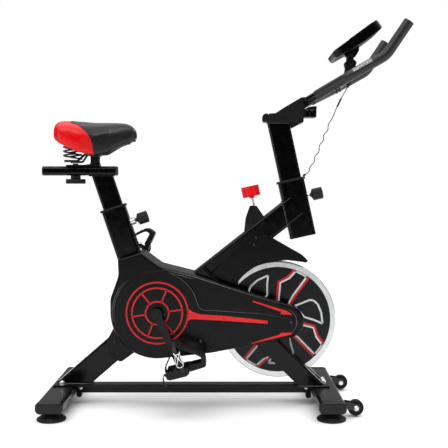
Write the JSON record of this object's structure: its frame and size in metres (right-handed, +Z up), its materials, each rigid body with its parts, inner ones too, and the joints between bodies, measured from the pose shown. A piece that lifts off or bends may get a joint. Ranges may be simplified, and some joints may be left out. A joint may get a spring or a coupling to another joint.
{
  "type": "indoor exercise bike",
  "caption": "Indoor spin bike with a belt-driven flywheel, caged pedals, saddle and handlebar on sliding posts, a tilting console and a knob that turns for load and pushes to stop.",
  "frame": {"origin": "on the floor, in the middle of the footprint", "axes": "+X to the front of the bike, +Y to the rider's left, +Z up"},
  "size_m": [1.0791, 0.453, 1.149],
  "materials": {
    "frame_paint": "gloss",
    "black_plastic": "satin",
    "gloss_plastic": "gloss",
    "red_plastic": "gloss",
    "rubber": "matte",
    "chrome": "polished",
    "steel": "brushed",
    "black_steel": "satin",
    "wheel_iron": "painted",
    "foam": "matte",
    "saddle_vinyl": "gloss",
    "felt": "matte",
    "screen_glass": "gloss"
  },
  "bodies": {
    "frame": {"stabilizers": "frame_paint", "stabilizer_end_caps": "black_plastic", "bottom_rail": "frame_paint", "rear_leg": "frame_paint", "front_legs": "frame_paint", "seat_tube": "frame_paint", "down_tube": "frame_paint", "head_tube": "frame_paint", "tube_collars": "black_plastic", "crank_bearings": "steel", "flywheel_bearings": "steel", "frame_fasteners": "chrome", "belt_cover_outer": "gloss_plastic", "belt_cover_inner": "black_plastic", "flywheel_guard": "black_plastic", "resistance_shroud": "black_plastic", "drive_belt": "rubber"},
    "flywheel": {"flywheel": "wheel_iron", "flywheel_axle": "steel", "flywheel_pulley": "steel"},
    "crank": {"crank_spindles": "steel", "crank_pulley": "steel", "crank_arm_right": "black_steel", "crank_arm_left": "black_steel"},
    "pedal_right": {"pedal_right": "black_plastic", "toe_cage_right": "black_plastic"},
    "pedal_left": {"pedal_left": "black_plastic", "toe_cage_left": "black_plastic"},
    "seat_post": {"seat_post": "frame_paint", "seat_rail_caps": "black_plastic"},
    "seat_slider": {"seat_slider": "black_steel"},
    "seat_slide_knob": {"seat_slide_knob": "black_plastic"},
    "saddle": {"saddle_clamp": "black_steel", "saddle_springs": "black_steel", "saddle_base": "black_plastic", "saddle_cushion": "saddle_vinyl"},
    "seat_lock": {"seat_lock_knob": "black_plastic"},
    "handlebar_lock": {"handlebar_lock_knob": "black_plastic"},
    "handlebar_post": {"handlebar_post": "frame_paint", "handlebar_stem": "frame_paint", "stem_plugs": "black_plastic", "handlebar": "frame_paint", "handlebar_grips": "foam", "pulse_sensors": "chrome", "console_bracket": "black_plastic", "pulse_cable": "rubber", "cable_connector": "rubber"},
    "console": {"console_housing": "gloss_plastic", "console_screen": "screen_glass"},
    "console_button": {"console_button": "red_plastic"},
    "resistance_rod": {"resistance_rod": "chrome"},
    "resistance_knob": {"resistance_knob": "red_plastic"},
    "brake": {"brake_arm": "black_steel", "brake_pad": "felt"},
    "wheel_right": {"wheel_right": "black_plastic"},
    "wheel_left": {"wheel_left": "black_plastic"},
    "foot_rear_right": {"foot_rear_right": "rubber"},
    "foot_rear_left": {"foot_rear_left": "rubber"},
    "foot_front_right": {"foot_front_right": "rubber"},
    "foot_front_left": {"foot_front_left": "rubber"}
  },
  "joints": [
    {"name": "flywheel_spin", "type": "hinge", "parent": "frame", "child": "flywheel", "pos_m": [0.172, 0, 0.2585], "axis": [0, 1, 0], "continuous": true},
    {"name": "crank_spin", "type": "hinge", "parent": "frame", "child": "crank", "pos_m": [-0.1875, 0, 0.2895], "axis": [0, 1, 0], "continuous": true},
    {"name": "pedal_right_spin", "type": "hinge", "parent": "crank", "child": "pedal_right", "pos_m": [-0.12039, -0.176, 0.13876], "axis": [0, 1, 0], "continuous": true},
    {"name": "pedal_left_spin", "type": "hinge", "parent": "crank", "child": "pedal_left", "pos_m": [-0.25461, 0.176, 0.44023], "axis": [0, 1, 0], "continuous": true},
    {"name": "seat_height", "type": "slide", "parent": "frame", "child": "seat_post", "axis": [-0.3156, 0, 0.9489], "range_m": [-0.08, 0.1]},
    {"name": "seat_fore_aft", "type": "slide", "parent": "seat_post", "child": "seat_slider", "axis": [1, 0, 0], "range_m": [-0.06, 0.02]},
    {"name": "seat_slide_knob_turn", "type": "hinge", "parent": "seat_slider", "child": "seat_slide_knob", "pos_m": [-0.441, 0, 0.677], "axis": [0, 0, 1], "range_deg": [-360, 360]},
    {"name": "saddle_tilt", "type": "hinge", "parent": "seat_slider", "child": "saddle", "pos_m": [-0.381, 0, 0.74], "axis": [0, 1, 0], "range_deg": [-10, 10]},
    {"name": "seat_lock_pull", "type": "slide", "parent": "frame", "child": "seat_lock", "axis": [0.9489, 0, 0.3156], "range_m": [0, 0.01], "stiffness_N_per_m": 800},
    {"name": "handlebar_height", "type": "slide", "parent": "frame", "child": "handlebar_post", "axis": [-0.2151, 0, 0.9766], "range_m": [-0.045, 0.05], "deforming": ["pulse_cable", "cable_connector"]},
    {"name": "handlebar_lock_pull", "type": "slide", "parent": "frame", "child": "handlebar_lock", "axis": [0.9766, 0, 0.2151], "range_m": [0, 0.01], "stiffness_N_per_m": 800},
    {"name": "console_tilt", "type": "hinge", "parent": "handlebar_post", "child": "console", "pos_m": [0.388, 0, 1.052], "axis": [0, 1, 0], "range_deg": [-20, 15]},
    {"name": "console_button_press", "type": "slide", "parent": "console", "child": "console_button", "axis": [0.5878, 0, -0.809], "range_m": [0, 0.002], "stiffness_N_per_m": 900},
    {"name": "resistance_push", "type": "slide", "parent": "frame", "child": "resistance_rod", "axis": [0.217, 0, -0.9762], "range_m": [0, 0.004], "stiffness_N_per_m": 3000},
    {"name": "resistance_turn", "type": "hinge", "parent": "resistance_rod", "child": "resistance_knob", "pos_m": [0.0898, 0, 0.647], "axis": [0.217, 0, -0.9762], "range_deg": [-1080, 1080]},
    {"name": "brake_press", "type": "hinge", "parent": "frame", "child": "brake", "pos_m": [0.0716, 0, 0.4281], "axis": [0, 1, 0], "range_deg": [0, 3.6]},
    {"name": "wheel_right_spin", "type": "hinge", "parent": "frame", "child": "wheel_right", "pos_m": [0.388, -0.15, 0.0256], "axis": [0, 1, 0], "continuous": true},
    {"name": "wheel_left_spin", "type": "hinge", "parent": "frame", "child": "wheel_left", "pos_m": [0.388, 0.15, 0.0256], "axis": [0, 1, 0], "continuous": true},
    {"name": "foot_rear_right_turn", "type": "hinge", "parent": "frame", "child": "foot_rear_right", "pos_m": [-0.481, -0.185, 0.02], "axis": [0, 0, 1], "continuous": true},
    {"name": "foot_rear_left_turn", "type": "hinge", "parent": "frame", "child": "foot_rear_left", "pos_m": [-0.481, 0.185, 0.02], "axis": [0, 0, 1], "continuous": true},
    {"name": "foot_front_right_turn", "type": "hinge", "parent": "frame", "child": "foot_front_right", "pos_m": [0.314, -0.185, 0.02], "axis": [0, 0, 1], "continuous": true},
    {"name": "foot_front_left_turn", "type": "hinge", "parent": "frame", "child": "foot_front_left", "pos_m": [0.314, 0.185, 0.02], "axis": [0, 0, 1], "continuous": true}
  ],
  "couplings": [
    {"joint": "crank_spin", "follows": "flywheel_spin", "ratio": 0.27368},
    {"joint": "brake_press", "follows": "resistance_push", "rad_per_m": 15.3}
  ]
}
